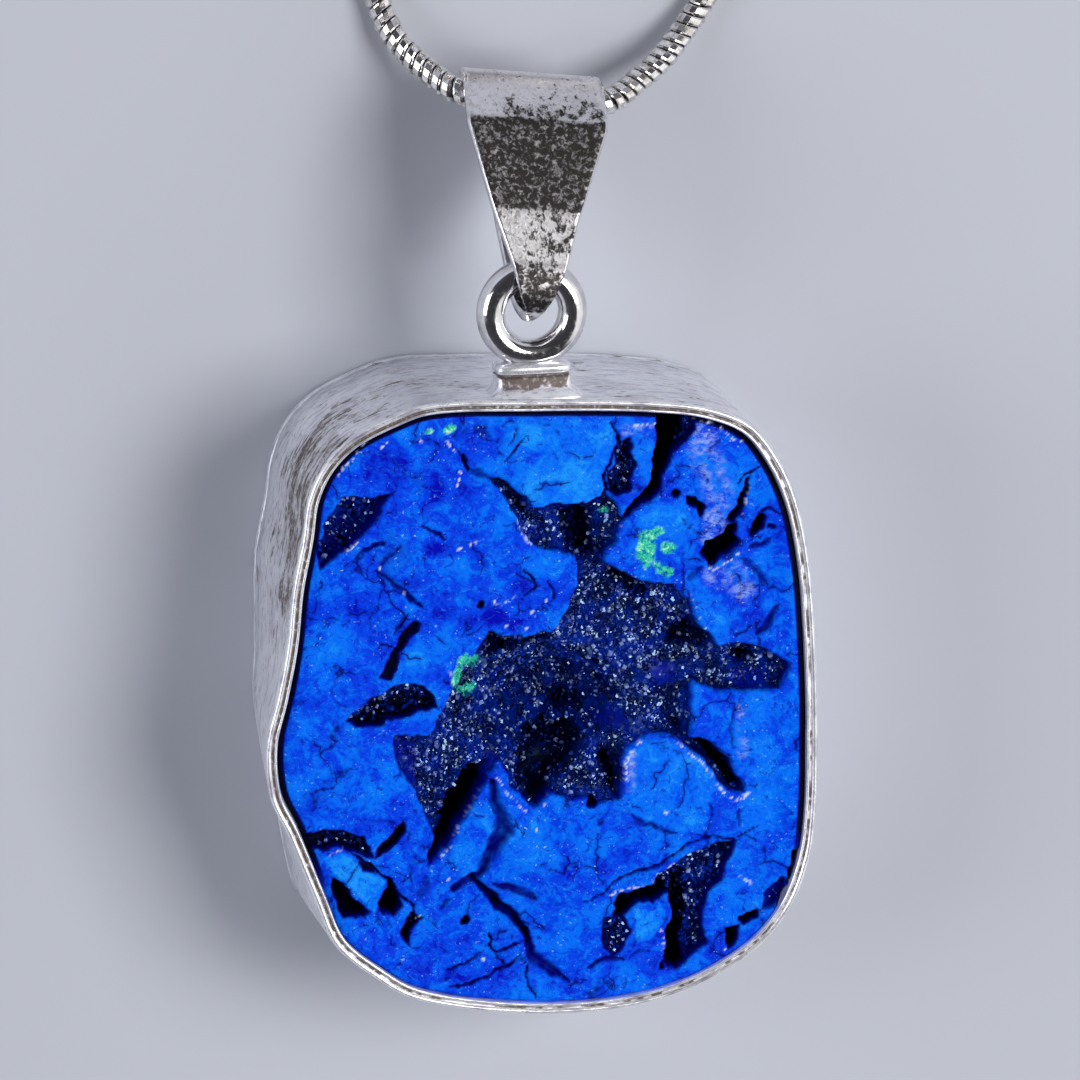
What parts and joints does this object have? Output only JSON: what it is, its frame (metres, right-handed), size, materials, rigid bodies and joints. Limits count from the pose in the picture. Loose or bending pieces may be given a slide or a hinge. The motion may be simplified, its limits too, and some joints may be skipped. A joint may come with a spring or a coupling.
{
  "type": "azurite specimen in a pendant setting",
  "caption": "Polished azurite nodule slice with fissures and a druse-lined hollow, in a deep silver pendant setting with ring, swinging bail and snake chain.",
  "frame": {"origin": "middle of the back plate's outer face, on the surface that the pendant lies on", "axes": "+Z out of the stone's face, +Y towards the ring and bail, +X to the right when looking at the face"},
  "size_m": [0.0283, 0.0739, 0.0103],
  "materials": {
    "azurite": "ground flat and half polished",
    "druse": "glossy small crystals",
    "satin_silver": "brushed, with light tarnish",
    "bright_silver": "polished",
    "aged_silver": "polished, then darkened and mottled",
    "chain_silver": "polished, dark between the links"
  },
  "bodies": {
    "pendant": {"azurite_stone": "azurite", "druse_crust": "druse", "bezel_wall": "satin_silver", "back_plate": "satin_silver", "ring_seat": "satin_silver", "hanging_ring": "bright_silver", "chain_run": "chain_silver", "chain_return": "chain_silver", "chain_coil": "chain_silver", "clasp": "bright_silver"},
    "bail": {"bail": "aged_silver"}
  },
  "joints": [
    {"name": "bail_swing", "type": "hinge", "parent": "pendant", "child": "bail", "pos_m": [-0.0003, 0.02218, 0.0083], "axis": [0.9925, -0.1219, 0], "range_deg": [-16, 70], "deforming": ["chain_run"]}
  ]
}
